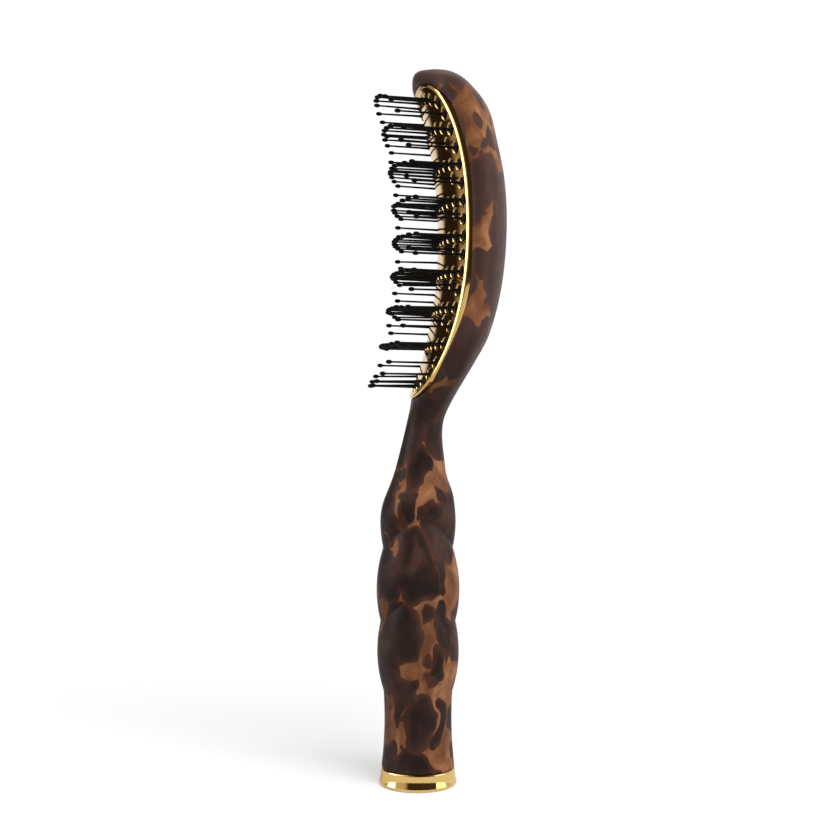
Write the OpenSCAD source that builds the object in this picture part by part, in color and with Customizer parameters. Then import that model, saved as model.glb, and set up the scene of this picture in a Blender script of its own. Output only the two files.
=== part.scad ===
// Vanity hairbrush: two-part moulded body with a bulbed handle, a drilled face
// plate with rows of ball-tipped pins, and a weighted handle on a metal cap.
// Origin: centre of the base, on the surface the brush stands on.
// +Z runs up the handle, the pins point towards -X, and Y is the brush's width.

/* [Body] */
// Wall thickness of the two moulded shells
wall = 2.2; // [1.6:0.1:2.4]
// Height above the cap where the handle ends and the head's neck begins
neck_z = 103; // [103:0.5:104]

/* [Handle] */
// Radius at the handle's narrowest place, just above the cap
collar_r = 11.27; // [11:0.1:12]
// Largest radius of the lower bulb
lower_bulb_r = 13.7; // [13.2:0.1:14]
// Largest radius of the middle bulb
middle_bulb_r = 13.93; // [13.4:0.1:14.2]
// Largest radius of the upper bulb
upper_bulb_r = 12.67; // [12.2:0.1:13]
// How far the bulbs' upper edges rise at the handle's sides
arch_rise = 9.7; // [6:0.1:10]

/* [Face plate] */
// Half of the face plate's width
plate_half_w = 28.5; // [27:0.5:29]
// Half of the face plate's length
plate_half_l = 50.7; // [49.5:0.1:51]
// Radius of the face plate's hollow curve along its length
plate_bend_r = 164; // [155:1:180]
// Radius of the face plate's bulge across its width
plate_crown_r = 74; // [70:1:80]
// Thickness of the face plate
plate_t = 1.2; // [0.8:0.1:1.5]
// Width of the bead round the face plate
trim_w = 1.2; // [0.8:0.1:1.4]

/* [Pins] */
// Distance from one full row of pins to the next
row_pitch = 11.44; // [11:0.1:12]
// Target distance from pin to pin along a row
pin_pitch = 5.4; // [5:0.1:6]
// Diameter of a pin
pin_d = 0.9; // [0.7:0.1:1.2]
// Diameter of a pin's ball tip
tip_d = 1.6; // [1.2:0.1:2]
// Length of a pin in front of the face plate
pin_l = 16; // [12:1:18]
// Diameter of the face plate's holes
hole_d = 3.7; // [3.5:0.1:3.8]

/* [Base] */
// Radius of the base cap where it rests
cap_r = 13; // [12.6:0.1:13.4]
// Height of the base cap
cap_h = 5.6; // [5:0.1:6]
// Radius of the steel weight inside the handle
weight_r = 7.8; // [6:0.1:8]
// Length of the steel weight inside the handle
weight_l = 44; // [30:1:48]

/* [Hidden] */
$fn = 48;
// Clearance between neighbouring pieces
gap = 0.15;

// Face plate: its most forward line and the height of that, the middle of its
// oval, and how the oval is drawn
plate_x = 7.25;
bend_z = 184.4;
plate_z = 181.3;
crown_centre_r = plate_bend_r + plate_crown_r;
oval_top_power = 3.45;
oval_bottom_power = 2.82;
oval_points = 72;

// Board behind the face plate, the foot of each pin in its socket there, and the
// collar that fills the plate's hole round the pin
board_t = 4;
foot_r = 1.1;
foot_l = 1.2;
socket_r = 1.25;
socket_l = 1.8;
collar_depth = 0.7;
collar_l = 0.6;
collar_clearance = 0.15;

// Full rows are numbered from the middle of the head. The first and the last stand
// end_row_shift closer in, and each row's middle rises above its ends by its arch.
first_row = -4;
last_row = 4;
row_centre_z = 181.1;
end_row_shift = 1.8;
row_arches = [-3.9, 0, 0.6, 0.8, 0.8, 0.8, 1.6, 3.2, 4.1];
row_edge = 3;
row_edge_shift = 1.2;

// Side pins stand in the gaps between the full rows: one by each edge, and in all
// but the first and last gap a second one further in and a little higher
pair_lift = 5.4;
pair_step = 2.2;

// Heights where the handle's collar and bulbs meet, and the bulbs' centres
collar_waist_z = 22.5;
collar_top_z = 31.3;
lower_bulb_z = 44.6;
lower_bulb_top_z = 54.8;
middle_bulb_z = 65.2;
middle_bulb_top_z = 79.2;
upper_bulb_z = 88;

// Neck and head: height, front edge, seam, back edge, half-width
head_stations = [
    [103, -8.7, 0.2, 9.3, 9.0],
    [108, -7.0, 0.8, 9.0, 8.3],
    [113, -5.7, 1.7, 8.4, 7.7],
    [118, -4.5, 2.7, 8.1, 7.3],
    [123, -3.3, 4.2, 8.8, 7.8],
    [128, -2.0, 6.4, 11.0, 11.3],
    [132, -1.6, 8.6, 13.0, 16.8],
    [136, -0.6, 10.2, 15.2, 21.5],
    [142, 1.4, 12.2, 18.7, 25.8],
    [150, 4.0, 14.2, 23.0, 29.0],
    [165, 7.0, 16.3, 27.1, 31.4],
    [183, 8.0, 17.0, 29.0, 32.0],
    [200, 6.9, 16.6, 28.5, 31.5],
    [215, 3.9, 14.2, 25.7, 30.0],
    [225, 0.9, 11.8, 23.2, 26.8],
    [232, -1.1, 8.3, 17.8, 23.7],
    [236, -1.8, 6.0, 14.5, 16.1],
    [238.5, -1.2, 4.6, 11.4, 8.0],
    [240, 0.4, 3.6, 8.6, 1.5]
];
body_bottom_z = cap_h;
body_top_z = head_stations[len(head_stations) - 1][0];
handle_rings = 30;
head_rings = 40;
half_steps = 16;
peg_heights = [66, 90, 108, 118];
peg_r = 1;
peg_l = 4;

// Base: the cap's floor, the recess for the pad, and the screw
cap_floor_z = 2.4;
pad_recess = 0.7;
pad_r = 10;
screw_head_r = 3;
screw_head_top_z = 1.45;
screw_r = 1.4;
plug_top_z = 10.8;
weight_z = plug_top_z + 0.2;

// ---- Outer form of the body ------------------------------------------------

function smooth(t) = let (u = min(max(t, 0), 1)) u * u * (3 - 2 * u);

// Share of arch_rise at height z: none at the lower bulb, all of it at the two
// upper joints, none again at the neck
function arch_share(z) = z < middle_bulb_top_z
    ? smooth((z - lower_bulb_z + 8) / (lower_bulb_top_z - lower_bulb_z + 8))
    : 1 - smooth((z - middle_bulb_top_z) / (neck_z - middle_bulb_top_z));

function bulb(r, z, centre, below, above) = r - (z < centre ? below : above) * pow(z - centre, 2);

function handle_r(z) = max(
    z < collar_top_z + 2 ? collar_r + 0.0036 * pow(z - collar_waist_z, 2) : 0,
    bulb(lower_bulb_r, z, lower_bulb_z, 0.0122, 0.0115),
    bulb(middle_bulb_r, z, middle_bulb_z, 0.0122, 0.0114),
    bulb(upper_bulb_r, z, upper_bulb_z, 0.0125, 0.0168)
);

// Value of one station column at height z, as a smooth curve through the stations
function station_slope(i, c) = let (
    last = len(head_stations) - 1,
    a = head_stations[max(i - 1, 0)],
    b = head_stations[min(i + 1, last)]
) (b[c] - a[c]) / (b[0] - a[0]);

function station_below(z, i = 0) =
    i >= len(head_stations) - 2 || head_stations[i + 1][0] > z ? i : station_below(z, i + 1);

function head_value(z, c) = let (
    i = station_below(z),
    a = head_stations[i],
    b = head_stations[i + 1],
    h = b[0] - a[0],
    t = (z - a[0]) / h,
    t2 = t * t,
    t3 = t2 * t
) (2 * t3 - 3 * t2 + 1) * a[c] + (t3 - 2 * t2 + t) * h * station_slope(i, c)
    + (3 * t2 - 2 * t3) * b[c] + (t3 - t2) * h * station_slope(i + 1, c);

// Section at height z: front edge, seam, back edge, half-width
function section(z) = z < neck_z
    ? [-handle_r(z), 0, handle_r(z), handle_r(z)]
    : [for (c = [1 : 4]) head_value(z, c)];

// How square the front half of the section is: 2 is an ellipse. The head's lower
// end is squarer, so that its lip stays level with the face plate's edge.
function front_power(z) = 2 + 1.8 * smooth((z - 118) / 14) * (1 - smooth((z - 131) / 34));

function squared(v, power) = sign(v) * pow(abs(v), 2 / power);

// Point of the body's surface at height z and angle a, moved inwards by inset.
// a = 0 faces the back, 90 is the +Y seam and 180 faces the front.
function body_point(z, a, inset) = let (
    s = section(z),
    side = cos(a) > 0 ? s[2] - s[1] : s[1] - s[0],
    power = cos(a) > 0 ? 2 : front_power(z)
) [
    s[1] + (side - inset) * squared(cos(a), power),
    (s[3] - inset) * squared(sin(a), power),
    z + (z < neck_z ? arch_rise * arch_share(z) * pow(sin(a), 2) : 0)
];

function ring_height(i, top) = i <= handle_rings
    ? body_bottom_z + (neck_z - body_bottom_z) * i / handle_rings
    : neck_z + (top - neck_z) * sin(90 * (i - handle_rings) / head_rings);

// Half of the body as one closed skin, from angle a0 round to a0 + 180
module half_shell(a0) {
    rings = handle_rings + head_rings;
    row = half_steps + 1;
    inner = (rings + 1) * row;
    points = [
        for (layer = [0, 1], i = [0 : rings], j = [0 : half_steps])
            body_point(ring_height(i, body_top_z - layer * wall), a0 + 180 * j / half_steps, layer * wall)
    ];
    function at(layer, i, j) = layer * inner + i * row + j;
    outside = [
        for (i = [0 : rings - 1], j = [0 : half_steps - 1], f = [0, 1]) f == 0
            ? [at(0, i, j), at(0, i + 1, j), at(0, i, j + 1)]
            : [at(0, i, j + 1), at(0, i + 1, j), at(0, i + 1, j + 1)]
    ];
    inside = [
        for (i = [0 : rings - 1], j = [0 : half_steps - 1], f = [0, 1]) f == 0
            ? [at(1, i, j), at(1, i, j + 1), at(1, i + 1, j)]
            : [at(1, i, j + 1), at(1, i + 1, j + 1), at(1, i + 1, j)]
    ];
    foot = [
        for (j = [0 : half_steps - 1], f = [0, 1]) f == 0
            ? [at(0, 0, j), at(0, 0, j + 1), at(1, 0, j)]
            : [at(0, 0, j + 1), at(1, 0, j + 1), at(1, 0, j)]
    ];
    first_edge = [
        for (i = [0 : rings - 1], f = [0, 1]) f == 0
            ? [at(0, i, 0), at(1, i, 0), at(0, i + 1, 0)]
            : [at(1, i, 0), at(1, i + 1, 0), at(0, i + 1, 0)]
    ];
    last_edge = [
        for (i = [0 : rings - 1], f = [0, 1]) f == 0
            ? [at(0, i, half_steps), at(0, i + 1, half_steps), at(1, i, half_steps)]
            : [at(1, i, half_steps), at(0, i + 1, half_steps), at(1, i + 1, half_steps)]
    ];
    outer_cap = [[for (j = [half_steps : -1 : 0]) at(0, rings, j)]];
    inner_cap = [[for (j = [0 : half_steps]) at(1, rings, j)]];
    crown = [[at(0, rings, 0), at(1, rings, 0), at(1, rings, half_steps), at(0, rings, half_steps)]];
    skins = concat(outside, inside, foot, first_edge, last_edge);
    polyhedron(points, concat(skins, outer_cap, inner_cap, crown));
}

// ---- Face plate, trim and pins ---------------------------------------------

// Half-width of the plate's oval at height z
function oval_half_w(z) = let (
    power = z > plate_z ? oval_top_power : oval_bottom_power,
    t = min(abs(z - plate_z) / plate_half_l, 1)
) plate_half_w * pow(1 - pow(t, power), 1 / power);

// Front face of the plate at (y, z)
function plate_front_x(y, z) = let (
    r = crown_centre_r - sqrt(pow(plate_crown_r, 2) - y * y)
) plate_x - plate_bend_r + sqrt(r * r - pow(z - bend_z, 2));

// Oval of the plate, grown by extra, as a block along X
module oval_block(extra) {
    function power_at(a) = sin(a) > 0 ? oval_top_power : oval_bottom_power;
    outline = [
        for (i = [0 : oval_points - 1]) let (a = 360 * (i + 0.5) / oval_points, p = power_at(a)) [
            (plate_half_w + extra) * squared(cos(a), p),
            (plate_half_l + extra) * squared(sin(a), p)
        ]
    ];
    translate([-30, 0, plate_z])
        rotate([90, 0, 90])
            linear_extrude(height = 70)
                polygon(outline);
}

// Saddle-shaped layer between two depths behind the plate's front face
module saddle_layer(front, back) {
    translate([plate_x - plate_bend_r, 0, bend_z])
        rotate([90, 0, 0])
            rotate_extrude(angle = 44, start = -22, $fn = 180)
                intersection() {
                    difference() {
                        translate([crown_centre_r, 0])
                            circle(r = plate_crown_r - front, $fn = 180);
                        translate([crown_centre_r, 0])
                            circle(r = plate_crown_r - back, $fn = 180);
                    }
                    translate([plate_bend_r - 5, -34])
                        square([30, 68]);
                }
}

function even_row_z(k) = row_centre_z + k * row_pitch;
function row_z(k) = even_row_z(k) + (k == first_row ? end_row_shift : k == last_row ? -end_row_shift : 0);
function pin_edge_y(z) = oval_half_w(z + row_edge_shift * sign(z - plate_z)) - row_edge;
function pin_count(z) = floor(2 * pin_edge_y(z) / pin_pitch + 0.5) + 1;
function pin_tilt(z) = 0.5 + 0.029 * (z - even_row_z(first_row));

// Places [y, z] of the pins in full row k
function row_places(k) = let (z = row_z(k), n = pin_count(z), edge = pin_edge_y(z)) [
    for (i = [0 : n - 1]) let (y = edge * (2 * i / (n - 1) - 1))
        [y, z + row_arches[k - first_row] * (1 - pow(y / edge, 2))]
];

// Places [y, z] of the side pins between full rows k and k + 1
function pair_places(k, side) = let (
    z = even_row_z(k) + pair_lift,
    edge = pin_edge_y(z),
    outer = [side * edge, z],
    inner = [side * (edge - pin_pitch), z + pair_step]
) k == first_row || k == last_row - 1 ? [outer] : [outer, inner];

module at_hole(place, depth) {
    translate([plate_front_x(place[0], place[1]) + depth, place[0], place[1]])
        rotate([0, pin_tilt(place[1]) - 90, 0])
            children();
}

// One pin: a foot held in the board, a collar in the plate's hole, a straight
// shaft and a ball tip
module pin(place) {
    foot_depth = plate_t + gap + foot_l + 0.5;
    shaft_l = foot_depth + pin_l - tip_d / 2;
    at_hole(place, foot_depth) {
        cylinder(r = foot_r, h = foot_l, $fn = 24);
        translate([0, 0, foot_depth - collar_depth])
            cylinder(r = hole_d / 2 - collar_clearance, h = collar_l, $fn = 24);
        cylinder(d = pin_d, h = shaft_l, $fn = 24);
        translate([0, 0, shaft_l])
            sphere(d = tip_d, $fn = 24);
    }
}

module bristle_row(k) {
    color("black")
        for (place = row_places(k))
            pin(place);
}

module side_bristles(side) {
    color("black")
        for (k = [first_row : last_row - 1], place = pair_places(k, side))
            pin(place);
}

// Round holes through or into a layer at every pin
module pin_holes(r, depth) {
    for (k = [first_row : last_row], place = row_places(k))
        at_hole(place, depth)
            cylinder(r = r, h = depth + 3);
    for (k = [first_row : last_row - 1], side = [-1, 1], place = pair_places(k, side))
        at_hole(place, depth)
            cylinder(r = r, h = depth + 3);
}

module face_plate() {
    color("gold")
        difference() {
            intersection() {
                saddle_layer(0, plate_t);
                oval_block(0);
            }
            pin_holes(hole_d / 2, plate_t + 2);
        }
}

module rim_trim() {
    color("gold")
        intersection() {
            saddle_layer(-0.7, plate_t + 0.6);
            difference() {
                oval_block(trim_w);
                oval_block(0.05);
            }
        }
}

module bristle_board() {
    front = plate_t + gap;
    color("black")
        difference() {
            intersection() {
                saddle_layer(front, front + board_t);
                oval_block(-1);
            }
            pin_holes(socket_r, front + socket_l);
        }
}

// ---- Body ------------------------------------------------------------------

module back_shell() {
    color("saddlebrown")
        half_shell(-90);
}

module front_shell() {
    color("saddlebrown")
        difference() {
            half_shell(90);
            oval_block(trim_w + 0.1);
        }
}

// Pegs that line the two shells up, standing inside the seam on both sides
module locating_pegs() {
    color("dimgray")
        for (z = peg_heights, side = [-1, 1]) {
            s = section(z);
            translate([s[1] - peg_l / 2, side * (s[3] - wall - 2.2 * peg_r), z])
                rotate([0, 90, 0])
                    cylinder(r = peg_r, h = peg_l, $fn = 24);
        }
}

// ---- Handle weight and base ------------------------------------------------

module handle_weight() {
    color("silver")
        translate([0, 0, weight_z])
            cylinder(r = weight_r, h = weight_l);
}

// Cup that holds the weight on the handle's axis, open at its foot
module weight_sleeve() {
    sleeve_t = 0.9;
    color("dimgray")
        translate([0, 0, weight_z])
            difference() {
                cylinder(r = weight_r + sleeve_t, h = weight_l + gap + sleeve_t);
                translate([0, 0, -1])
                    cylinder(r = weight_r + gap / 2, h = weight_l + gap + 1);
            }
}

module base_plug() {
    color("dimgray")
        difference() {
            union() {
                translate([0, 0, cap_floor_z + gap])
                    cylinder(r = cap_r - 1.8, h = cap_h - cap_floor_z - 2 * gap);
                translate([0, 0, cap_floor_z + 1])
                    cylinder(r = 8.9, h = plug_top_z - cap_floor_z - 1);
            }
            translate([0, 0, cap_floor_z - 1])
                cylinder(r = screw_r + 0.1, h = 8);
        }
}

// Flared cap with a rounded foot, a recess for the pad and a hole for the screw
module base_cap() {
    foot_r = 1;
    color("gold")
        difference() {
            rotate_extrude($fn = 96)
                difference() {
                    polygon(concat(
                        [[0, 0]],
                        [for (a = [-90 : 18 : 0]) [cap_r + foot_r * (cos(a) - 1), foot_r * (1 + sin(a))]],
                        [[cap_r - 0.3, cap_h * 0.6], [cap_r - 0.6, cap_h], [0, cap_h]]
                    ));
                    translate([0, cap_floor_z])
                        square([cap_r - 1.6, cap_h]);
                }
            translate([0, 0, -1])
                cylinder(r = pad_r, h = 1 + pad_recess);
            translate([0, 0, -1])
                cylinder(r = screw_head_r + 0.3, h = 1 + screw_head_top_z);
            translate([0, 0, -1])
                cylinder(r = screw_r + 0.2, h = cap_floor_z + 2);
        }
}

module cap_screw() {
    color("silver")
        union() {
            translate([0, 0, pad_recess])
                cylinder(r = screw_head_r, h = screw_head_top_z - pad_recess);
            translate([0, 0, pad_recess])
                cylinder(r = screw_r, h = 8);
        }
}

module base_pad() {
    color("dimgray")
        cylinder(r = pad_r - 0.1, h = pad_recess - 0.05);
}

back_shell();
front_shell();
face_plate();
rim_trim();
bristle_board();
bristle_row(-4);  // bristle_row_1
bristle_row(-3);  // bristle_row_2
bristle_row(-2);  // bristle_row_3
bristle_row(-1);  // bristle_row_4
bristle_row(0);  // bristle_row_5
bristle_row(1);  // bristle_row_6
bristle_row(2);  // bristle_row_7
bristle_row(3);  // bristle_row_8
bristle_row(4);  // bristle_row_9
side_bristles(-1);  // side_bristles_left
side_bristles(1);  // side_bristles_right
locating_pegs();
handle_weight();
weight_sleeve();
base_plug();
base_cap();
cap_screw();
base_pad();
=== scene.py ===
import math

import bmesh
import bpy
import numpy as np
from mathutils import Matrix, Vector


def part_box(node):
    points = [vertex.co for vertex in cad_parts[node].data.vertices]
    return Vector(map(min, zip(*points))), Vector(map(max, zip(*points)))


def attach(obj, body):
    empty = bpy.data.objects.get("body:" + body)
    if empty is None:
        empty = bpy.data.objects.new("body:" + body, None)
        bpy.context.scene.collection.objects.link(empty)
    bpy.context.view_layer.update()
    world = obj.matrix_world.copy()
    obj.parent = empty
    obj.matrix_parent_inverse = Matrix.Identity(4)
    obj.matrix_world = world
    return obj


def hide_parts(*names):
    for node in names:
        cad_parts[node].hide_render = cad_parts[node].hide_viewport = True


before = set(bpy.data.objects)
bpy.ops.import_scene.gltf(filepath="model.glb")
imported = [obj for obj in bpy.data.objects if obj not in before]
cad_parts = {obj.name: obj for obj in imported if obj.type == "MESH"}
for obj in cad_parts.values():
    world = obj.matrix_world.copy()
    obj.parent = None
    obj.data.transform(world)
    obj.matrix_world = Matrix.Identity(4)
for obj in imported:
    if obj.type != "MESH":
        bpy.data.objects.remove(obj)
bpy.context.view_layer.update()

# Lengths below are in millimetres, in the design's own frame, unless a name says
# otherwise. to_mesh() turns them into metres.
MM = 0.001

# ---- The design's driving shapes --------------------------------------------

CAP_TOP_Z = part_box("base_cap")[1].z / MM
CAP_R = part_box("base_cap")[1].x / MM
PLATE_LOW, PLATE_HIGH = (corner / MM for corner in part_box("face_plate"))
PLATE_Z = (PLATE_LOW.z + PLATE_HIGH.z) / 2
PLATE_HALF_W = PLATE_HIGH.y
PLATE_HALF_L = (PLATE_HIGH.z - PLATE_LOW.z) / 2
# The plate's front: where it is deepest, its bend along the head and its crown across it
PLATE_X = 7.25
BEND_Z = 184.4
PLATE_BEND_R = 164.0
PLATE_CROWN_R = 74.0
PLATE_T = 1.2
CROWN_CENTRE_R = PLATE_BEND_R + PLATE_CROWN_R
# How square the plate's oval is above and below its middle: 2 is an ellipse
OVAL_TOP_POWER = 3.45
OVAL_BOTTOM_POWER = 2.82
TRIM_W = 1.2
OPENING_EXTRA = TRIM_W + 0.1
OPENING_LOW_Z = PLATE_Z - PLATE_HALF_L - OPENING_EXTRA
OPENING_HIGH_Z = PLATE_Z + PLATE_HALF_L + OPENING_EXTRA

NECK_Z = 103.0
# The creases between bulbs rise by this much from the handle's front and back to its sides
ARCH_RISE = 9.7
# The upper bulb leans back: how far, how far below the neck, and over what height
UPPER_BULB_LEAN, LEAN_BELOW_NECK, LEAN_REACH = 0.7, 3, 5.5
COLLAR_R, COLLAR_FLARE, COLLAR_WAIST_Z, COLLAR_TOP_Z = 11.27, 0.0036, 22.5, 31.3
LOWER_BULB_Z, LOWER_BULB_TOP_Z = 44.6, 54.8
MIDDLE_BULB_TOP_Z = 79.2
# Largest radius, its height, and how fast the bulb narrows below and above it
BULBS = [
    (13.7, LOWER_BULB_Z, 0.0122, 0.0115),
    (13.93, 65.2, 0.0122, 0.0114),
    (12.67, 88.0, 0.0125, 0.0168),
]
# Neck and head: height, front edge, seam, back edge, half-width
HEAD_STATIONS = np.array([
    [103, -8.3, 0.4, 9.5, 9.0],
    [108, -7.0, 0.8, 9.0, 8.3],
    [113, -5.7, 1.7, 8.4, 7.7],
    [118, -4.5, 2.7, 8.1, 7.3],
    [123, -3.3, 4.2, 8.8, 7.8],
    [128, -2.0, 6.4, 11.0, 11.3],
    [132, -1.6, 8.6, 13.0, 16.8],
    [136, -0.6, 10.2, 15.2, 21.5],
    [142, 1.4, 12.2, 18.7, 25.8],
    [150, 4.0, 14.2, 23.0, 29.0],
    [165, 7.0, 16.3, 27.1, 31.4],
    [183, 8.0, 17.0, 29.0, 32.0],
    [200, 6.9, 16.6, 28.5, 31.5],
    [215, 3.9, 14.2, 25.7, 30.0],
    [225, 0.9, 11.8, 23.2, 26.8],
    [232, -1.1, 8.3, 17.8, 23.7],
    [236, -1.8, 6.0, 14.5, 16.1],
    [238.5, -1.2, 4.6, 11.4, 8.0],
    [240, 0.4, 3.6, 8.6, 1.5],
])
TOP_Z = HEAD_STATIONS[-1, 0]

# Heights over which creases are softened: everywhere, and more at the neck and on the head,
# but not at the tip
CREASE_REACH = 0.12
NECK_REACH, NECK_SPAN = 2.38, 5
HEAD_REACH, HEAD_SPAN = 1.2, 10
TIP_CLEAR, TIP_CLEAR_SPAN = 12, 8
# The squarer front where the head begins: how much, where it rises and where it falls
SQUARE_GAIN = 1.8
SQUARE_RISE_Z, SQUARE_RISE_H = 118, 14
SQUARE_FALL_Z, SQUARE_FALL_H = 131, 34

# Rows of pins are numbered from the lowest, -4, to the highest, 4
ROW_CENTRE_Z, ROW_PITCH, END_ROW_SHIFT = 181.1, 11.44, 1.8
FIRST_ROW, LAST_ROW = -4, 4
# How far the middle of each row stands above its ends
ROW_ARCHES = {-4: -3.9, -3: 0.0, -2: 0.6, -1: 0.8, 0: 0.8, 1: 0.8, 2: 1.6, 3: 3.2, 4: 4.1}
ROW_EDGE, ROW_EDGE_SHIFT, PIN_PITCH = 3.0, 1.2, 5.4
# Side pins: the outer one's height above a row, and how far the inner one stands above it
PAIR_LIFT, PAIR_STEP = 5.4, 2.2
PIN_L, HOLE_R, PIN_COLLAR_R = 16.0, 1.85, 1.7
HOLE_FILLET_R = 0.42
PIN_LEAN = 0.011
PIN_TILT, PIN_TILT_GAIN = 0.5, 0.029

rng = np.random.default_rng(7)


def smooth(t):
    """Eases from 0 to 1 as t does, and holds outside."""
    t = np.clip(t, 0, 1)
    return t * t * (3 - 2 * t)


def arch_share(z):
    """Share of the full arch that a ring of the handle has at height z."""
    rising = smooth((z - LOWER_BULB_Z + 8) / (LOWER_BULB_TOP_Z - LOWER_BULB_Z + 8))
    falling = 1 - smooth((z - MIDDLE_BULB_TOP_Z) / (NECK_Z - MIDDLE_BULB_TOP_Z))
    return np.where(z < MIDDLE_BULB_TOP_Z, rising, falling)


def handle_r(z):
    """Radius of the bulbed handle at height z."""
    collar = np.where(z < COLLAR_TOP_Z + 2, COLLAR_R + COLLAR_FLARE * (z - COLLAR_WAIST_Z) ** 2, 0)
    bulbs = [r - np.where(z < at, below, above) * (z - at) ** 2 for r, at, below, above in BULBS]
    return np.max([collar, *bulbs], axis=0)


def head_column(z, c):
    """Smooth curve through one column of the stations."""
    at, value = HEAD_STATIONS[:, 0], HEAD_STATIONS[:, c]
    slope = np.gradient(value)
    slope[1:-1] = (value[2:] - value[:-2]) / (at[2:] - at[:-2])
    slope[0] = (value[1] - value[0]) / (at[1] - at[0])
    slope[-1] = (value[-1] - value[-2]) / (at[-1] - at[-2])
    i = np.clip(np.searchsorted(at, z, side="right") - 1, 0, len(at) - 2)
    h = at[i + 1] - at[i]
    t = (z - at[i]) / h
    return (
        (2 * t**3 - 3 * t**2 + 1) * value[i]
        + (t**3 - 2 * t**2 + t) * h * slope[i]
        + (3 * t**2 - 2 * t**3) * value[i + 1]
        + (t**3 - t**2) * h * slope[i + 1]
    )


def sharp_section(z):
    """Front edge, seam, back edge and half-width at heights z, creases and all."""
    r = handle_r(z)
    head = [head_column(np.maximum(z, NECK_Z), c) for c in range(1, 5)]
    lean = UPPER_BULB_LEAN * np.exp(-(((z - NECK_Z + LEAN_BELOW_NECK) / LEAN_REACH) ** 2))
    handle = [lean - r, lean, lean + r, r]
    return np.stack([np.where(z < NECK_Z, a, b) for a, b in zip(handle, head)])


def section(z):
    """The same with softened creases: each value is smoothed over its reach in height."""
    neck = np.exp(-(((z - NECK_Z) / NECK_SPAN) ** 2))
    head = smooth((z - NECK_Z) / HEAD_SPAN)
    reach = CREASE_REACH + NECK_REACH * neck + HEAD_REACH * head
    reach *= 1 - smooth((z - TOP_Z + TIP_CLEAR) / TIP_CLEAR_SPAN)
    taps = np.linspace(-2, 2, 9)
    weights = np.exp(-(taps**2) / 2)
    total = sum(
        w * sharp_section(np.clip(z + t * reach, CAP_TOP_Z, TOP_Z)) for t, w in zip(taps, weights)
    )
    return total / weights.sum()


def front_power(z):
    """How square the front half of the section is: 2 is an ellipse."""
    rise = smooth((z - SQUARE_RISE_Z) / SQUARE_RISE_H)
    fall = smooth((z - SQUARE_FALL_Z) / SQUARE_FALL_H)
    return 2 + SQUARE_GAIN * rise * (1 - fall)


def body_points(z, angle, inset=0.0):
    """Points of the body's surface, with 0 degrees at the back and 180 at the front."""
    front, seam, back, half_w = section(z)
    c, s = np.cos(np.radians(angle)), np.sin(np.radians(angle))
    power = np.where(c > 0, 2.0, front_power(z))
    size = (np.abs(c) ** power + np.abs(s) ** power) ** (-1 / power)
    side = np.where(c > 0, back - seam, seam - front)
    lift = ARCH_RISE * arch_share(z) * s**2 * (z < NECK_Z)
    return np.stack(
        [seam + (side - inset) * size * c, (half_w - inset) * size * s, z + lift], axis=-1
    )


def oval_power(z):
    """How square the plate's oval is at height z."""
    return np.where(z > PLATE_Z, OVAL_TOP_POWER, OVAL_BOTTOM_POWER)


def oval_half_w(z, extra=0.0):
    """Half-width of the face plate's oval at height z, grown by extra."""
    power = oval_power(z)
    t = np.clip(np.abs(z - PLATE_Z) / (PLATE_HALF_L + extra), 0, 1)
    return (PLATE_HALF_W + extra) * (1 - t**power) ** (1 / power)


def oval_distance(y, z, extra):
    """Rough distance from the oval's outline, above zero outside it."""
    a, b, p = PLATE_HALF_W + extra, PLATE_HALF_L + extra, oval_power(z)
    u, v = np.abs(y) / a, np.abs(z - PLATE_Z) / b
    g = (u**p + v**p) ** (1 / p)
    grad = np.hypot(u ** (p - 1) / a, v ** (p - 1) / b) * g ** (1 - p)
    return (g - 1) / np.maximum(grad, 1e-9)


def plate_surface(y, z, depth=0.0):
    """x of the saddle-shaped layer that lies depth behind the plate's front."""
    r = CROWN_CENTRE_R - np.sqrt((PLATE_CROWN_R - depth) ** 2 - y**2)
    return PLATE_X - PLATE_BEND_R + np.sqrt(r**2 - (z - BEND_Z) ** 2)


def plate_normal(y, z):
    """Unit normals of the plate's front, pointing out of the brush's face."""
    step = 0.01
    dxdy = (plate_surface(y + step, z) - plate_surface(y - step, z)) / (2 * step)
    dxdz = (plate_surface(y, z + step) - plate_surface(y, z - step)) / (2 * step)
    n = np.stack([-np.ones_like(dxdy), dxdy, dxdz], axis=-1)
    return n / np.linalg.norm(n, axis=-1, keepdims=True)


# ---- Mesh helpers -----------------------------------------------------------

def added(name, data):
    """A new object in the scene."""
    made = bpy.data.objects.new(name, data)
    bpy.context.scene.collection.objects.link(made)
    return made


def to_mesh(name, points, faces, merge=0.0, sharp_angle=40.0):
    """A mesh object from points in millimetres, smooth apart from edges over sharp_angle."""
    mesh = bpy.data.meshes.new(name)
    mesh.from_pydata((np.asarray(points) * MM).tolist(), [], faces)
    bm = bmesh.new()
    bm.from_mesh(mesh)
    if merge:
        bmesh.ops.remove_doubles(bm, verts=bm.verts, dist=merge * MM)
        bmesh.ops.dissolve_degenerate(bm, edges=bm.edges, dist=merge * MM * 0.5)
    bmesh.ops.recalc_face_normals(bm, faces=bm.faces)
    limit = math.radians(sharp_angle)
    for face in bm.faces:
        face.smooth = True
    for edge in bm.edges:
        edge.smooth = len(edge.link_faces) != 2 or edge.calc_face_angle(0) < limit
    bm.to_mesh(mesh)
    bm.free()
    return added(name, mesh)


def quads(index):
    """Quads over a grid of point numbers."""
    a, b, c, d = index[:-1, :-1], index[1:, :-1], index[1:, 1:], index[:-1, 1:]
    return np.stack([a, b, c, d], axis=-1).reshape(-1, 4).tolist()


def bridge(first, second):
    """Quads between two lines of point numbers."""
    return quads(np.stack([first, second], axis=1))


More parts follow.
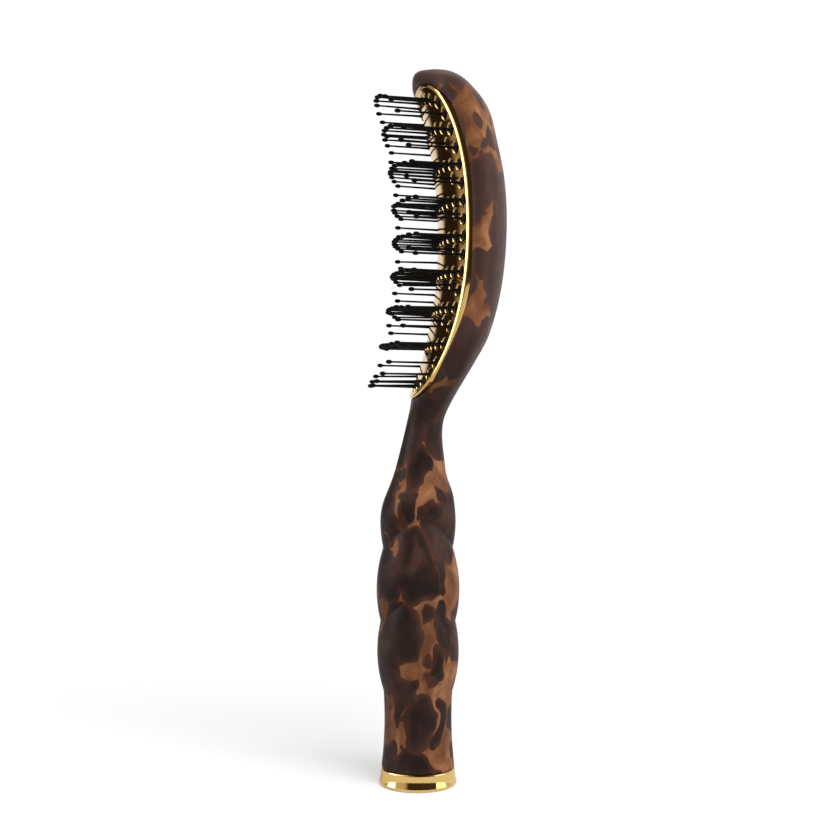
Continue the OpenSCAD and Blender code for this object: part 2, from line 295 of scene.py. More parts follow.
def looped(rows, cols, both_ways=False):
    """A grid of point numbers whose rows, or rows and columns, close on themselves."""
    grid = np.arange(rows * cols).reshape(rows, cols)
    if both_ways:
        grid = np.vstack([grid, grid[:1]])
    return np.hstack([grid, grid[:, :1]])


def lathe(name, profile, steps):
    """Closed profile of (radius, height) points turned about Z."""
    profile = np.asarray(profile, float)
    turn = np.linspace(0, 2 * math.pi, steps, endpoint=False)
    points = [(r * math.cos(a), r * math.sin(a), h) for a in turn for r, h in profile]
    return to_mesh(name, points, quads(looped(steps, len(profile), both_ways=True)), merge=0.002)


def arc(centre, radius, start, end, count):
    """Points on an arc between two angles in degrees."""
    a = np.radians(np.linspace(start, end, count))
    return [(centre[0] + radius * math.cos(t), centre[1] + radius * math.sin(t)) for t in a]


def place_piece(piece, slot, material, *nodes):
    """Puts a finished piece in the frame, in place of the CAD nodes it stands for."""
    piece.data.materials.clear()
    piece.data.materials.append(material)
    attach(piece, "root")
    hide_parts(*nodes)


# ---- Body shells ------------------------------------------------------------

SHELL_T = 1.5
LIP_R = 0.9
ARC_STEPS = 40
# The last rings drop by TIP_RISE over TIP_H, and the rings that close the tip rise by it again
TIP_RISE, TIP_H = 0.5, 3
# Depth of the seam's chamfer, and its width as a share of the way round
SEAM_CHAMFER, SEAM_CHAMFER_W = 0.06, 0.014
FOOT_GROOVE, FOOT_GROOVE_H = 0.5, 0.6


def ring_heights():
    """Heights of the body's rings, closest at the opening's ends and the tip."""
    low, high = OPENING_LOW_Z, OPENING_HIGH_Z
    spread = np.linspace(0, 1, 16) ** 2
    parts = [
        np.linspace(CAP_TOP_Z, NECK_Z, 270, endpoint=False),
        np.linspace(NECK_Z, low - 1, 50, endpoint=False),
        np.linspace(low - 1, low, 5, endpoint=False),
        low + spread * 4,
        np.linspace(low + 4.3, high - 4.3, 190),
        high - spread[::-1] * 4,
        high + np.linspace(0.05, 1, 12) * (TOP_Z - high),
    ]
    return np.unique(np.round(np.concatenate(parts), 4))


def arc_shares():
    """Shares of the way from the seam, close together at the seam's chamfer."""
    near_seam = [0.0, 0.006, SEAM_CHAMFER_W]
    return np.concatenate([near_seam, np.linspace(0.03, 1, ARC_STEPS - 3)])


def tip_share(z):
    """0 below the tip, rising to 1 at its top."""
    return smooth((z - TOP_Z + TIP_H) / TIP_H)


def tip_rings(ring, count=7):
    """Rings that close a body layer over its tip, towards the middle of the seam."""
    centre = np.array([ring[0, 0], 0.0, ring[:, 2].mean()])
    rings = []
    for s in np.linspace(1, 0, count)[1:]:
        shrunk = centre + (ring - centre) * s
        shrunk[:, 2] = ring[:, 2] + TIP_RISE * (1 - s * s)
        rings.append(shrunk)
    return rings


def shell_layer(z, shares, side, inset, opening):
    """One layer of a shell from the seam towards the middle.

    side is +1 or -1 in Y. With an opening the layer stops at its edge and rolls into it.
    """
    zz, tt = np.meshgrid(z, shares, indexing="ij")
    if opening:
        across = np.clip(oval_half_w(z, OPENING_EXTRA) / (section(z)[3] - inset), 0, 1)
        power = front_power(z)
        edge = np.degrees(np.arctan2(across, (1 - across**power) ** (1 / power)))
        closer = 1 + 0.6 * smooth((zz - 120) / 10)
        angle = 90 + (90 - edge[:, None]) * (1 - (1 - tt) ** closer)
    else:
        angle = 90 * (1 - tt)
    chamfer = SEAM_CHAMFER * np.clip(1 - tt / SEAM_CHAMFER_W, 0, 1)
    groove = FOOT_GROOVE * (1 - smooth((zz - CAP_TOP_Z) / FOOT_GROOVE_H))
    points = body_points(zz, angle, inset + (chamfer + groove) * (inset == 0))
    if opening and inset == 0:
        near = np.clip(oval_distance(points[..., 1], points[..., 2], OPENING_EXTRA), 0, LIP_R)
        near = np.where(zz > NECK_Z, near, LIP_R)
        points[..., 0] += LIP_R - np.sqrt(LIP_R**2 - (LIP_R - near) ** 2)
    points[..., 2] -= TIP_RISE * tip_share(zz)
    points[..., 1] *= side
    return points


def shell_rings(z, side, inset, opening):
    """A shell's layer with the rings that close its tip. An inner layer ends lower."""
    if inset and not opening:
        at = CAP_TOP_Z + (z - CAP_TOP_Z) * (TOP_Z - inset - CAP_TOP_Z) / (TOP_Z - CAP_TOP_Z)
    else:
        at = z - inset * tip_share(z)
    layer = shell_layer(at, arc_shares(), side, inset, opening)
    return np.concatenate([layer, np.array(tip_rings(layer[-1]))])


def build_shell(name, opening):
    """Front or back shell as a closed skin of outer and inner layers."""
    z = ring_heights()
    points, faces = [], []
    offset = 0
    for side in (1, -1):
        layers = [shell_rings(z, side, inset, opening) for inset in (0.0, SHELL_T)]
        rows, cols = layers[0].shape[:2]
        outer = offset + np.arange(rows * cols).reshape(rows, cols)
        inner = outer + rows * cols
        offset += 2 * rows * cols
        points += [layer.reshape(-1, 3) for layer in layers]
        faces += quads(outer) + quads(inner)
        faces += bridge(outer[:, 0], inner[:, 0]) + bridge(outer[0], inner[0])
        if opening:
            inside = np.flatnonzero((z >= OPENING_LOW_Z - 1e-3) & (z <= OPENING_HIGH_Z + 1e-3))
            rim = slice(inside[0], inside[-1] + 1)
            faces += bridge(outer[rim, -1], inner[rim, -1])
    return to_mesh(name, np.concatenate(points), faces, merge=0.004, sharp_angle=50)


# ---- Face plate, bead and pins ----------------------------------------------

def even_row_z(k):
    """Height of row k before the end rows are moved inwards."""
    return ROW_CENTRE_Z + k * ROW_PITCH


def pin_edge_y(z):
    """How far out the outermost pin at height z stands."""
    outward = math.copysign(ROW_EDGE_SHIFT, z - PLATE_Z)
    return float(oval_half_w(np.array(z + outward))) - ROW_EDGE


def row_places(k):
    """Places (y, z) of the pins of row k, evenly spread and arched."""
    z = even_row_z(k) + END_ROW_SHIFT * ((k == FIRST_ROW) - (k == LAST_ROW))
    edge = pin_edge_y(z)
    count = math.floor(2 * edge / PIN_PITCH + 0.5) + 1
    across = [edge * (2 * i / (count - 1) - 1) for i in range(count)]
    return [(y, z + ROW_ARCHES[k] * (1 - (y / edge) ** 2)) for y in across]


def pair_places(k, side):
    """Places of the side pins above row k: outer and inner, or the outer one in the end gaps."""
    z = even_row_z(k) + PAIR_LIFT
    edge = pin_edge_y(z)
    places = [(side * edge, z), (side * (edge - PIN_PITCH), z + PAIR_STEP)]
    return places[:1] if k in (FIRST_ROW, LAST_ROW - 1) else places


ROWS = range(FIRST_ROW, LAST_ROW + 1)
ROW_PLACES = {k: row_places(k) for k in ROWS}
PAIR_PLACES = {
    side: [place for k in ROWS[:-1] for place in pair_places(k, side)] for side in (-1, 1)
}
ALL_PLACES = sum([*ROW_PLACES.values(), *PAIR_PLACES.values()], [])


def pin_axis(z):
    """Direction of the pins at height z, which tilt up more towards the top."""
    tilt = math.radians(PIN_TILT + PIN_TILT_GAIN * (z - even_row_z(FIRST_ROW)))
    return np.array([-math.cos(tilt), 0, math.sin(tilt)])


def on_plate(place):
    """The point of the plate's front at a place (y, z)."""
    y, z = place
    return np.array([float(plate_surface(np.array(y), np.array(z))), y, z])


def spindle(origin, axis, profile, steps):
    """Points and quads of a closed solid of (radius, distance) turned about an axis."""
    side = np.cross(axis, [0.0, 1.0, 0.0])
    side /= np.linalg.norm(side)
    up = np.cross(axis, side)
    turn = np.linspace(0, 2 * math.pi, steps, endpoint=False)
    around = np.outer(np.cos(turn), side) + np.outer(np.sin(turn), up)
    rings = [origin + axis * h + around * r for r, h in profile]
    return np.concatenate(rings), quads(looped(len(profile), steps))


def merged(solids):
    """Points and faces of several solids as those of one mesh."""
    points, faces, offset = [], [], 0
    for p, f in solids:
        points.append(p)
        faces += [[i + offset for i in face] for face in f]
        offset += len(p)
    return np.concatenate(points), faces


def cut(piece, solids, name):
    """Cuts solids out of a piece, and applies the cut."""
    cutter = to_mesh(name, *merged(solids), merge=0.001)
    modifier = piece.modifiers.new(name, "BOOLEAN")
    modifier.operation = "DIFFERENCE"
    modifier.solver = "MANIFOLD"
    modifier.object = cutter
    bpy.context.view_layer.update()
    evaluated = piece.evaluated_get(bpy.context.evaluated_depsgraph_get())
    done = bpy.data.meshes.new_from_object(evaluated)
    piece.modifiers.clear()
    piece.data = done
    bpy.data.objects.remove(cutter)


def plate_blank():
    """The saddle-shaped oval plate before its holes are cut."""
    z = PLATE_Z + PLATE_HALF_L * np.sin(np.radians(np.linspace(-90, 90, 170)))
    share = np.sin(np.radians(np.linspace(-90, 90, 90)))
    zz, ss = np.meshgrid(z, share, indexing="ij")
    yy = oval_half_w(zz) * ss
    layers = [np.stack([plate_surface(yy, zz, d), yy, zz], axis=-1) for d in (0.0, PLATE_T)]
    rows, cols = zz.shape
    front = np.arange(rows * cols).reshape(rows, cols)
    back = front + rows * cols
    faces = quads(front) + quads(back)
    for edge in (0, -1):
        faces += bridge(front[:, edge], back[:, edge]) + bridge(front[edge], back[edge])
    points = np.concatenate([layer.reshape(-1, 3) for layer in layers])
    return to_mesh("gold_face_plate", points, faces, merge=0.004)


def build_face_plate():
    """The plate with a hole for every pin, each rounded off at its rim."""
    plate = plate_blank()
    bore = [(0, -4), (HOLE_R, -4), (HOLE_R, 4), (0, 4)]
    bores = [spindle(on_plate(p), pin_axis(p[1]), bore, 48) for p in ALL_PLACES]
    cut(plate, bores, "bores")
    fillet_end = HOLE_R + HOLE_FILLET_R
    fillet = arc((fillet_end, -HOLE_FILLET_R), HOLE_FILLET_R, 172, 90, 9)
    sink = [(0, fillet[0][1]), *fillet, (fillet_end + 0.05, 0.25), (0, 0.25)]
    normals = [plate_normal(np.array(y), np.array(z)) for y, z in ALL_PLACES]
    rims = [spindle(on_plate(p), n, sink, 48) for p, n in zip(ALL_PLACES, normals)]
    cut(plate, rims, "rims")
    set_plate_normals(plate.data)
    return plate


def read(collection, attribute, width=1, kind=float):
    """One attribute of every element of a mesh, as an array."""
    values = np.zeros(len(collection) * width, kind)
    collection.foreach_get(attribute, values)
    return values.reshape(-1, width) if width > 1 else values


def rim_normals(co, true_normal):
    """Normals at points co of the rounded rim of the nearest hole."""
    centres = np.array([on_plate(p) for p in ALL_PLACES])
    axes = np.array([pin_axis(p[1]) for p in ALL_PLACES])
    nearest = np.array([np.argmin(((centres[:, 1:] - c[1:]) ** 2).sum(axis=1)) for c in co])
    offset = co - centres[nearest]
    along = (offset * axes[nearest]).sum(axis=1, keepdims=True)
    radial = offset - along * axes[nearest]
    distance = np.linalg.norm(radial, axis=1, keepdims=True)
    inward = -radial / np.maximum(distance, 1e-6)
    turned = np.clip((HOLE_R + HOLE_FILLET_R - distance) / HOLE_FILLET_R, 0, 1)
    normal = np.sqrt(1 - turned**2) * true_normal + turned * inward
    return normal / np.linalg.norm(normal, axis=1, keepdims=True)


def set_plate_normals(mesh):
    """True surface normals for the polished plate, whatever its cut triangles are."""
    loop_vertex = read(mesh.loops, "vertex_index", kind=np.int32)
    co = read(mesh.vertices, "co", 3) / MM
    normals = read(mesh.corner_normals, "vector", 3, np.float32).astype(float)
    poly_normal = read(mesh.polygons, "normal", 3)
    totals = read(mesh.polygons, "loop_total", kind=np.int32)
    loop_poly = np.repeat(np.arange(len(totals)), totals)

    true_normal = plate_normal(co[:, 1], co[:, 2])
    on_front = np.abs(co[:, 0] - plate_surface(co[:, 1], co[:, 2])) < 0.02
    edge = oval_distance(co[:, 1], co[:, 2], 0.0) > -0.3
    facing = (poly_normal[loop_poly] * true_normal[loop_vertex]).sum(axis=1)
    front_loop = (facing > 0.97) & on_front[loop_vertex]
    back_loop = facing < -0.9
    hole_loop = ~front_loop & ~back_loop & ~edge[loop_vertex]
    normals[front_loop] = true_normal[loop_vertex][front_loop]
    normals[back_loop] = -true_normal[loop_vertex][back_loop]
    normals[hole_loop] = rim_normals(co, true_normal)[loop_vertex][hole_loop]
    for polygon in mesh.polygons:
        polygon.use_smooth = True
    mesh.normals_split_custom_set(normals.tolist())


def oval_outline(count):
    """Points [y, z] round the oval and its outward directions."""
    a = np.linspace(0, 2 * math.pi, count, endpoint=False) + 0.5 * math.pi / count
    c, s = np.cos(a), np.sin(a)
    power = np.where(s > 0, OVAL_TOP_POWER, OVAL_BOTTOM_POWER)
    y = PLATE_HALF_W * np.sign(c) * np.abs(c) ** (2 / power)
    z = PLATE_HALF_L * np.sign(s) * np.abs(s) ** (2 / power)
    ny = np.sign(c) * np.abs(y / PLATE_HALF_W) ** (power - 1) / PLATE_HALF_W
    nz = np.sign(s) * np.abs(z / PLATE_HALF_L) ** (power - 1) / PLATE_HALF_L
    length = np.hypot(ny, nz)
    return y, PLATE_Z + z, ny / length, nz / length


def build_rim_bead():
    """Rounded bead that slopes outwards, between the plate and the shell's lip."""
    y, z, ny, nz = oval_outline(420)
    # Distance outwards from the oval, and how proud of the plate's layer
    profile = [
        (0.03, 0), (0.03, 0.42), (0.06, 0.56), (0.14, 0.65), (0.26, 0.68), (0.42, 0.65),
        (0.66, 0.56), (0.88, 0.45), (1.02, 0.36), (1.12, 0.25), (1.18, 0.12),
        (TRIM_W, 0), (TRIM_W, -PLATE_T), (0.05, -PLATE_T),
    ]
    rings = []
    for across, proud in profile:
        yy, zz = y + ny * across, z + nz * across
        rings.append(np.stack([plate_surface(yy, zz) - proud, yy, zz], axis=-1))
    points = np.stack(rings, axis=1)
    grid = looped(*points.shape[:2], both_ways=True)
    return to_mesh("gold_rim_bead", points.reshape(-1, 3), quads(grid), sharp_angle=60)


BALL_L, BALL_R, PIN_NECK_R = 2.1, 0.70, 0.30


def pin_profile():
    """A pin from its foot, through its domed collar, to its ball tip: (radius, distance)."""
    foot = [(0, -3.05), (1.1, -3.05), (1.1, -1.85), (0.5, -1.8), (0.5, -0.85)]
    collar = [(PIN_COLLAR_R, -0.8), (PIN_COLLAR_R, -0.3), (PIN_COLLAR_R - 0.15, -0.12)]
    collar += [(1.0, 0.05), (0.65, 0.2), (0.55, 0.5)]
    shaft = [(0.43, 1.0), (0.36, 4.0), (0.33, 9.0), (PIN_NECK_R, PIN_L - BALL_L - 0.1)]
    ball = [
        (BALL_R * math.sin(t) ** 0.85, PIN_L - BALL_L / 2 * (1 + math.cos(t)))
        for t in np.linspace(0.45, math.pi, 11)
    ]
    ball[-1] = (0, PIN_L)
    return foot + collar + shaft + ball


def build_pins(name, places):
    """Pins that lean a little each its own way, as moulded nylon pins do."""
    solids = []
    for place in places:
        axis = pin_axis(place[1]) + np.array([0, *rng.normal(0, PIN_LEAN, 2)])
        solids.append(spindle(on_plate(place), axis / np.linalg.norm(axis), pin_profile(), 14))
    return to_mesh(name, *merged(solids), merge=0.001, sharp_angle=60)


# ---- Base cap ---------------------------------------------------------------

CAP_FLARE = 0.6
CAP_FOOT_R = 1.0
CAP_WALL = 1.6


def build_base_cap():
    """Flared metal cap with a rounded foot, a recess for the pad and a screw hole."""
    top_r = CAP_R - CAP_FLARE
    inside = [(1.6, 2.4), (1.6, 1.45), (3.3, 1.45), (3.3, 0.7), (10, 0.7), (10, 0.12), (10.12, 0)]
    foot = arc((CAP_R - CAP_FOOT_R, CAP_FOOT_R), CAP_FOOT_R, -90, 6, 14)
    side = [
        (top_r + CAP_FLARE * (1 - t) ** 2, 1.1 + (CAP_TOP_Z - 1.5) * t)
        for t in np.linspace(0.04, 1, 20)
    ]
    lip = arc((top_r - 0.33, CAP_TOP_Z - 0.3), 0.3, 20, 100, 8)
    wall = [(CAP_R - CAP_WALL, CAP_TOP_Z), (CAP_R - CAP_WALL, 2.4)]
    return lathe("gold_base_cap", inside + foot + side + lip + wall, 160)


# ---- Materials --------------------------------------------------------------

WHITE = (1, 1, 1, 1)


class Nodes:
    """A node tree whose nodes are added by short calls."""

    def __init__(self, tree):
        self.tree = tree

    def add(self, kind, inputs=None, **settings):
        made = self.tree.nodes.new("ShaderNode" + kind)
        for key, value in settings.items():
            setattr(made, key, value)
        self.feed(made, inputs or {})
        return made

    def feed(self, target, inputs):
        """Links each socket given, and sets each plain value."""
        for key, value in inputs.items():
            socket = target.inputs[key]
            if isinstance(value, bpy.types.NodeSocket):
                self.tree.links.new(value, socket)
            else:
                socket.default_value = value

    def ramp(self, factor, stops):
        made = self.add("ValToRGB", {0: factor})
        elements = made.color_ramp.elements
        while len(elements) < len(stops):
            elements.new(0.5)
        for element, (position, colour) in zip(elements, stops):
            element.position = position
            element.color = colour if len(colour) == 4 else (*colour, 1)
        return made.outputs["Color"]

    def spread(self, factor, low, high, start=0.0, end=1.0):
        """Maps factor from start...end to low...high."""
        made = self.add("MapRange", {
            "Value": factor, "From Min": start, "From Max": end, "To Min": low, "To Max": high,
        })
        return made.outputs["Result"]

    def maths(self, operation, a, b):
        return self.add("Math", {0: a, 1: b}, operation=operation).outputs[0]


class Shader(Nodes):
    """A principled material."""

    def __init__(self, name):
        self.material = bpy.data.materials.new(name)
        self.material.use_nodes = True
        super().__init__(self.material.node_tree)
        self.bsdf = self.tree.nodes["Principled BSDF"]

    def surface(self, **inputs):
        self.feed(self.bsdf, {key.replace("_", " "): value for key, value in inputs.items()})

    def place(self, stretch=(1, 1, 1), start=(0, 0, 0)):
        at = self.add("TexCoord").outputs["Object"]
        return self.add("Mapping", {"Vector": at, "Scale": stretch, "Location": start}).outputs[0]

    def noise(self, vector, scale, detail, roughness=0.5):
        return self.add("TexNoise", {
            "Vector": vector, "Scale": scale, "Detail": detail, "Roughness": roughness,
        }).outputs

    def mixed(self, factor, a, b):
        """Mix of two colours: sockets 6 and 7 are the colour pair of a Mix node."""
        made = self.add("Mix", data_type="RGBA")
        self.feed(made, {0: factor, 6: a, 7: b})
        return made.outputs[2]

    def vectors(self, operation, inputs):
        return self.add("VectorMath", inputs, operation=operation).outputs[0]

    def shifted(self, vector, colour, amount):
        """Vector moved about by a noise colour, by up to half of amount."""
        middle = self.vectors("SUBTRACT", {0: colour, 1: (0.5, 0.5, 0.5)})
        scaled = self.vectors("SCALE", {0: middle, "Scale": amount})
        return self.vectors("ADD", {0: vector, 1: scaled})

    def blobs(self, vector, scale, radius):
        """Below zero inside round blobs, above zero between them."""
        cells = self.add("TexVoronoi", {"Vector": vector, "Scale": scale, "Randomness": 1.0})
        return self.maths("SUBTRACT", cells.outputs["Distance"], radius)

    def bump(self, height, distance, strength):
        made = self.add("Bump", {"Height": height, "Distance": distance, "Strength": strength})
        return made.outputs["Normal"]


PATTERN_START = (1.37, 0.71, 0.11)
PATTERN_STRETCH = (1, 1, 0.72)
# The dark plastic from its deepest tone to its palest, and the amber between the blobs
DARK_TONES = [
    (0.38, (0.0145, 0.0078, 0.0068)), (0.53, (0.027, 0.0135, 0.0112)),
    (0.68, (0.056, 0.026, 0.0195)),
]
AMBER_TONES = [
    (0.30, (0.100, 0.037, 0.017)), (0.50, (0.175, 0.069, 0.029)), (0.72, (0.29, 0.130, 0.060)),
]
BLACK_TO_WHITE = [(0.0, (0, 0, 0)), (1.0, (1, 1, 1))]
# Thin edges of the dark blobs, where amber shines through: tone and share
RIM_TONE, RIM_SHARE = (0.115, 0.037, 0.020, 1), 0.36
# Painted sheen: the head's dark plastic is painted a little paler from the neck up: the tone, its
# share, and the heights (metres) between which it rises
HEAD_SHEEN_TONE = (0.080, 0.040, 0.032, 1)
HEAD_SHEEN_SHARE, HEAD_SHEEN_RISE = 0.45, (0.105, 0.150)


def tortoiseshell():
    """Warm amber plastic under overlapping dark brown blobs, drawn out a little upwards."""
    s = Shader("tortoiseshell")
    at = s.place(PATTERN_STRETCH, PATTERN_START)
    bent = s.shifted(at, s.noise(at, 80, 1)["Color"], 0.013)
    bent = s.shifted(bent, s.noise(at, 260, 1)["Color"], 0.0024)
    large = s.blobs(bent, 74, 0.62)
    small = s.blobs(s.shifted(bent, s.noise(at, 130, 1)["Color"], 0.006), 128, 0.42)
    edge = s.maths("MINIMUM", large, small)
    dark = s.ramp(s.noise(bent, 105, 2)["Fac"], DARK_TONES)
    amber = s.ramp(s.noise(bent, 180, 2)["Fac"], AMBER_TONES)
    halo = s.ramp(s.spread(edge, 0.0, 1.0, -0.12, 0.0), BLACK_TO_WHITE)
    rim = s.mixed(s.maths("MULTIPLY", halo, RIM_SHARE), dark, RIM_TONE)
    patch = s.spread(edge, 0.0, 1.0, -0.004, 0.018)
    height = s.add("SeparateXYZ", {"Vector": s.add("TexCoord").outputs["Object"]}).outputs["Z"]
    # Painted sheen: the dark plastic is mixed towards a paler tone up the head
    painted_sheen = s.spread(height, 0.0, HEAD_SHEEN_SHARE, *HEAD_SHEEN_RISE)
    s.surface(
        Base_Color=s.mixed(patch, s.mixed(painted_sheen, rim, HEAD_SHEEN_TONE), amber),
        Roughness=s.spread(s.noise(at, 160, 3)["Fac"], 0.40, 0.52),
        Specular_IOR_Level=0.12,
        Normal=s.bump(s.noise(at, 900, 3)["Fac"], 0.00002, 0.35),
    )
    return s.material


def gold(name, low_roughness, high_roughness, tone_low, tone_high):
    """Polished yellow metal with faint polishing marks."""
    s = Shader(name)
    at = s.place()
    tone = s.ramp(s.noise(at, 120, 3)["Fac"], [(0.3, tone_low), (0.7, tone_high)])
    marks = s.noise(s.place((1, 1, 6)), 700, 4, 0.6)["Fac"]
    s.surface(
        Base_Color=tone,
        Metallic=1.0,
        Roughness=s.spread(s.noise(at, 260, 4)["Fac"], low_roughness, high_roughness),
        Normal=s.bump(marks, 0.000004, 0.25),
    )
    return s.material


def dark_plastic(name, low, high, roughness):
    """Dark moulded plastic or rubber with a slight sheen."""
    s = Shader(name)
    at = s.place()
    tone = s.ramp(s.noise(at, 400, 3)["Fac"], [(0.3, low), (0.7, high)])
    s.surface(
        Base_Color=tone,
        Specular_IOR_Level=0.08,
        Roughness=s.spread(s.noise(at, 600, 2)["Fac"], roughness - 0.06, roughness + 0.08),
        Normal=s.bump(s.noise(at, 2500, 3)["Fac"], 0.00001, 0.3),
    )
    return s.material


def turned_steel(name, tone_low, tone_high):
    """Steel with turning marks round its axis."""
    s = Shader(name)
    at = s.place((0.2, 0.2, 30))
    rings = s.noise(at, 200, 4, 0.6)["Fac"]
    s.surface(
        Base_Color=s.ramp(rings, [(0.3, tone_low), (0.7, tone_high)]),
        Metallic=1.0,
        Roughness=s.spread(rings, 0.28, 0.42),
        Normal=s.bump(rings, 0.00003, 0.4),
    )
    return s.material


# ---- Build ------------------------------------------------------------------

shell_material = tortoiseshell()
plated = gold("plated_gold", 0.05, 0.10, (0.80, 0.49, 0.15), (0.86, 0.55, 0.19))
polished = gold("polished_gold", 0.05, 0.09, (0.94, 0.61, 0.20), (0.98, 0.68, 0.26))
nylon = dark_plastic("black_nylon", (0.0022, 0.0018, 0.0018), (0.0050, 0.0040, 0.0040), 0.40)
board_plastic = dark_plastic("black_board", (0.006, 0.006, 0.006), (0.012, 0.012, 0.012), 0.5)
inner_plastic = dark_plastic("inner_plastic", (0.07, 0.05, 0.04), (0.11, 0.08, 0.06), 0.5)
soft_pad = dark_plastic("soft_pad", (0.02, 0.02, 0.02), (0.035, 0.034, 0.033), 0.75)
weight_steel = turned_steel("weight_steel", (0.42, 0.42, 0.43), (0.58, 0.58, 0.60))
screw_steel = turned_steel("screw_steel", (0.50, 0.50, 0.50), (0.66, 0.66, 0.64))

for word, opening in (("back", False), ("front", True)):
    shell = build_shell(f"tortoise_{word}_shell", opening)
    place_piece(shell, "tortoiseshell", shell_material, f"{word}_shell")
place_piece(build_face_plate(), "gold_plastic", plated, "face_plate")
place_piece(build_rim_bead(), "gold_plastic", plated, "rim_trim")
for number, k in enumerate(ROWS, 1):
    pins = build_pins(f"pins_row_{number}", ROW_PLACES[k])
    place_piece(pins, "black_nylon", nylon, f"bristle_row_{number}")
for word, side in (("left", -1), ("right", 1)):
    pins = build_pins(f"pins_side_{word}", PAIR_PLACES[side])
    place_piece(pins, "black_nylon", nylon, f"side_bristles_{word}")
place_piece(build_base_cap(), "gold_metal", polished, "base_cap")

KEPT_NODES = {
    "bristle_board": board_plastic,
    "locating_pegs": inner_plastic,
    "handle_weight": weight_steel,
    "weight_sleeve": inner_plastic,
    "base_plug": inner_plastic,
    "cap_screw": screw_steel,
    "base_pad": soft_pad,
}
for name, material in KEPT_NODES.items():
    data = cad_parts[name].data
    data.materials.clear()
    data.materials.append(material)

# ---- Stage: floor, room, lights, camera (metres) ----------------------------

CAMERA_AZIMUTH = math.radians(-6.0)
CAMERA_DISTANCE = 0.463
CAMERA_HEIGHT = 0.125
CAMERA_YAW = math.radians(0.27)
CAMERA_LENS, SENSOR_WIDTH = 60.2, 36
FLOOR_HALF = 4.0
FLOOR_GREY = (0.45, 0.45, 0.45, 1)
# The floor's own glow as the camera sees it, and the share of it that reflections see
FLOOR_GLOW = 0.465
FLOOR_MIRRORED = 0.35
# Brightness of the background to the camera, and of the room as light from all round
BACKGROUND = 1.02
AMBIENT = 0.45
# The room as reflections see it: degrees from straight behind the brush (left below zero),
# brightness and warmth
ROOM = [
    (-180, 0.04, 0.6), (-145, 0.04, 0.6), (-134, 0.48, 0.1), (-104, 0.55, 0.1),
    (-98, 5.5, 0.0), (-78, 5.5, 0.0), (-72, 0.42, 0.2), (-47, 0.34, 0.2),
    (-42, 0.02, 0.6), (-23, 0.02, 0.6), (-17, 0.90, 0.1), (35, 0.90, 0.0),
    (70, 0.55, 0.0), (98, 0.60, 0.0), (112, 0.05, 0.4), (180, 0.04, 0.6),
]
KEY_FROM, KEY_ANGLE, KEY_STRENGTH = (0.50, -1.00, 1.15), 40, 3.4
FILL_AT, FILL_TOWARDS = (0.70, -0.30, 0.30), (0, 0, 0.13)
FILL_SIZE, FILL_POWER = (0.5, 0.8), 2.0


def area_light(name, at, towards, size, power):
    """Soft light from a rectangle."""
    data = bpy.data.lights.new(name, "AREA")
    data.shape = "RECTANGLE"
    data.size, data.size_y = size
    data.energy = power
    lamp = added(name, data)
    lamp.location = at
    lamp.rotation_euler = (Vector(towards) - Vector(at)).to_track_quat("-Z", "Y").to_euler()


def sun_light(name, direction, angle, strength):
    """Even light from far off, from the side direction points to, unseen in reflections."""
    data = bpy.data.lights.new(name, "SUN")
    data.angle = math.radians(angle)
    data.energy = strength
    lamp = added(name, data)
    lamp.location = direction
    lamp.visible_glossy = False
    lamp.rotation_euler = Vector(direction).to_track_quat("Z", "Y").to_euler()


def floor_material():
    """Plain pale floor that takes a shadow, and looks as white as the background."""
    s = Shader("studio_floor")
    diffuse = s.add("BsdfDiffuse", {"Color": FLOOR_GREY}).outputs[0]
    path = s.add("LightPath").outputs
    mirrored = s.maths("MULTIPLY", path["Is Glossy Ray"], FLOOR_MIRRORED)
    seen = s.maths("MAXIMUM", path["Is Camera Ray"], mirrored)
    strength = s.maths("MULTIPLY", seen, FLOOR_GLOW)
    glow = s.add("Emission", {"Color": WHITE, "Strength": strength}).outputs[0]
    both = s.add("AddShader", {0: diffuse, 1: glow}).outputs[0]
    s.feed(s.tree.nodes["Material Output"], {"Surface": both})
    return s.material


def build_floor():
    bpy.ops.mesh.primitive_plane_add(size=2 * FLOOR_HALF, location=(0, 0, 0))
    floor = bpy.context.object
    floor.name = "studio_floor"
    floor.data.materials.append(floor_material())


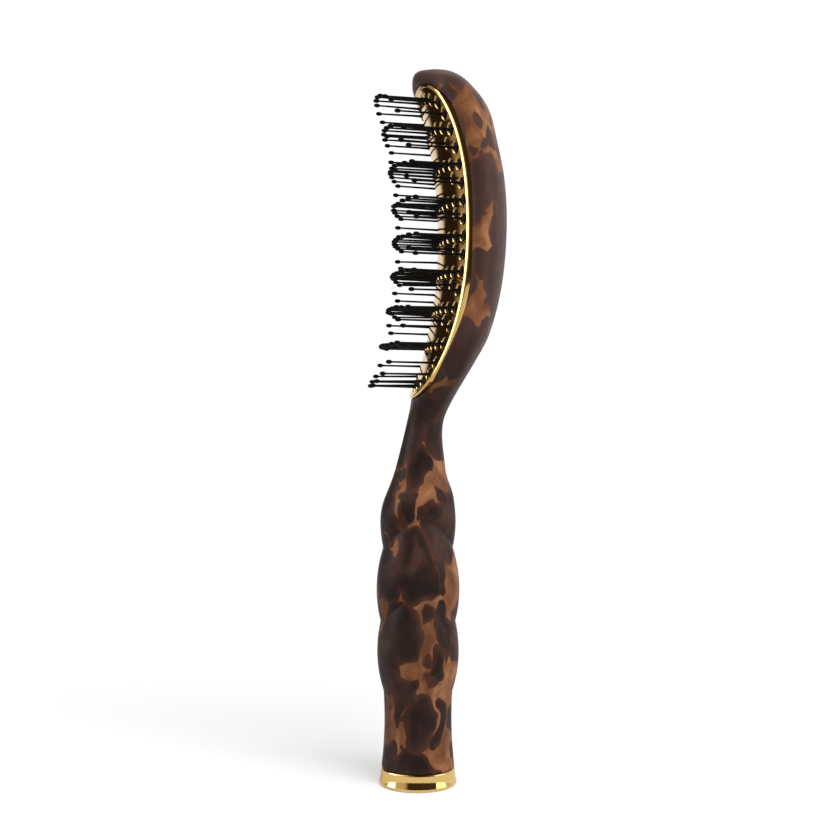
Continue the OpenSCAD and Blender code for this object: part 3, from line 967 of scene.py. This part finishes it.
def room_colour(s, brightest):
    """The room's panels by direction, as shares of the brightest."""
    direction = s.add("SeparateXYZ", {0: s.add("TexCoord").outputs["Generated"]}).outputs
    turn = s.maths("ARCTAN2", direction["X"], direction["Y"])
    stops = []
    for angle, value, warmth in ROOM:
        lit = value / brightest
        colour = (lit, lit * (1 - 0.55 * warmth), lit * (1 - warmth), 1)
        stops.append(((angle + 180) / 360, colour))
    return s.ramp(s.spread(turn, 0.0, 1.0, -math.pi, math.pi), stops)


def build_world():
    """White to the camera, a room of panels to reflections, even light to the rest."""
    world = bpy.data.worlds.new("studio")
    bpy.context.scene.world = world
    world.use_nodes = True
    s = Nodes(world.node_tree)
    seen = s.tree.nodes["Background"]
    s.feed(seen, {"Color": WHITE, "Strength": BACKGROUND})
    brightest = max(value for _, value, _ in ROOM)
    room = s.add("Background", {"Color": room_colour(s, brightest), "Strength": brightest})
    ambient = s.add("Background", {"Color": WHITE, "Strength": AMBIENT})
    path = s.add("LightPath").outputs
    lit = s.add("MixShader", {
        0: path["Is Glossy Ray"], 1: ambient.outputs[0], 2: room.outputs[0],
    })
    mix = s.add("MixShader", {
        0: path["Is Camera Ray"], 1: lit.outputs[0], 2: seen.outputs[0],
    })
    s.feed(s.tree.nodes["World Output"], {"Surface": mix.outputs[0]})


def build_camera():
    data = bpy.data.cameras.new("camera")
    data.lens = CAMERA_LENS
    data.sensor_width = SENSOR_WIDTH
    data.clip_start = 0.01
    camera = added("camera", data)
    camera.location = (
        CAMERA_DISTANCE * math.sin(CAMERA_AZIMUTH),
        -CAMERA_DISTANCE * math.cos(CAMERA_AZIMUTH),
        CAMERA_HEIGHT,
    )
    camera.rotation_euler = (math.radians(90), 0, CAMERA_AZIMUTH + CAMERA_YAW)
    bpy.context.scene.camera = camera


build_floor()
build_world()
sun_light("key", KEY_FROM, KEY_ANGLE, KEY_STRENGTH)
area_light("right_fill", FILL_AT, FILL_TOWARDS, FILL_SIZE, FILL_POWER)
build_camera()
bpy.context.scene.view_settings.view_transform = "Standard"
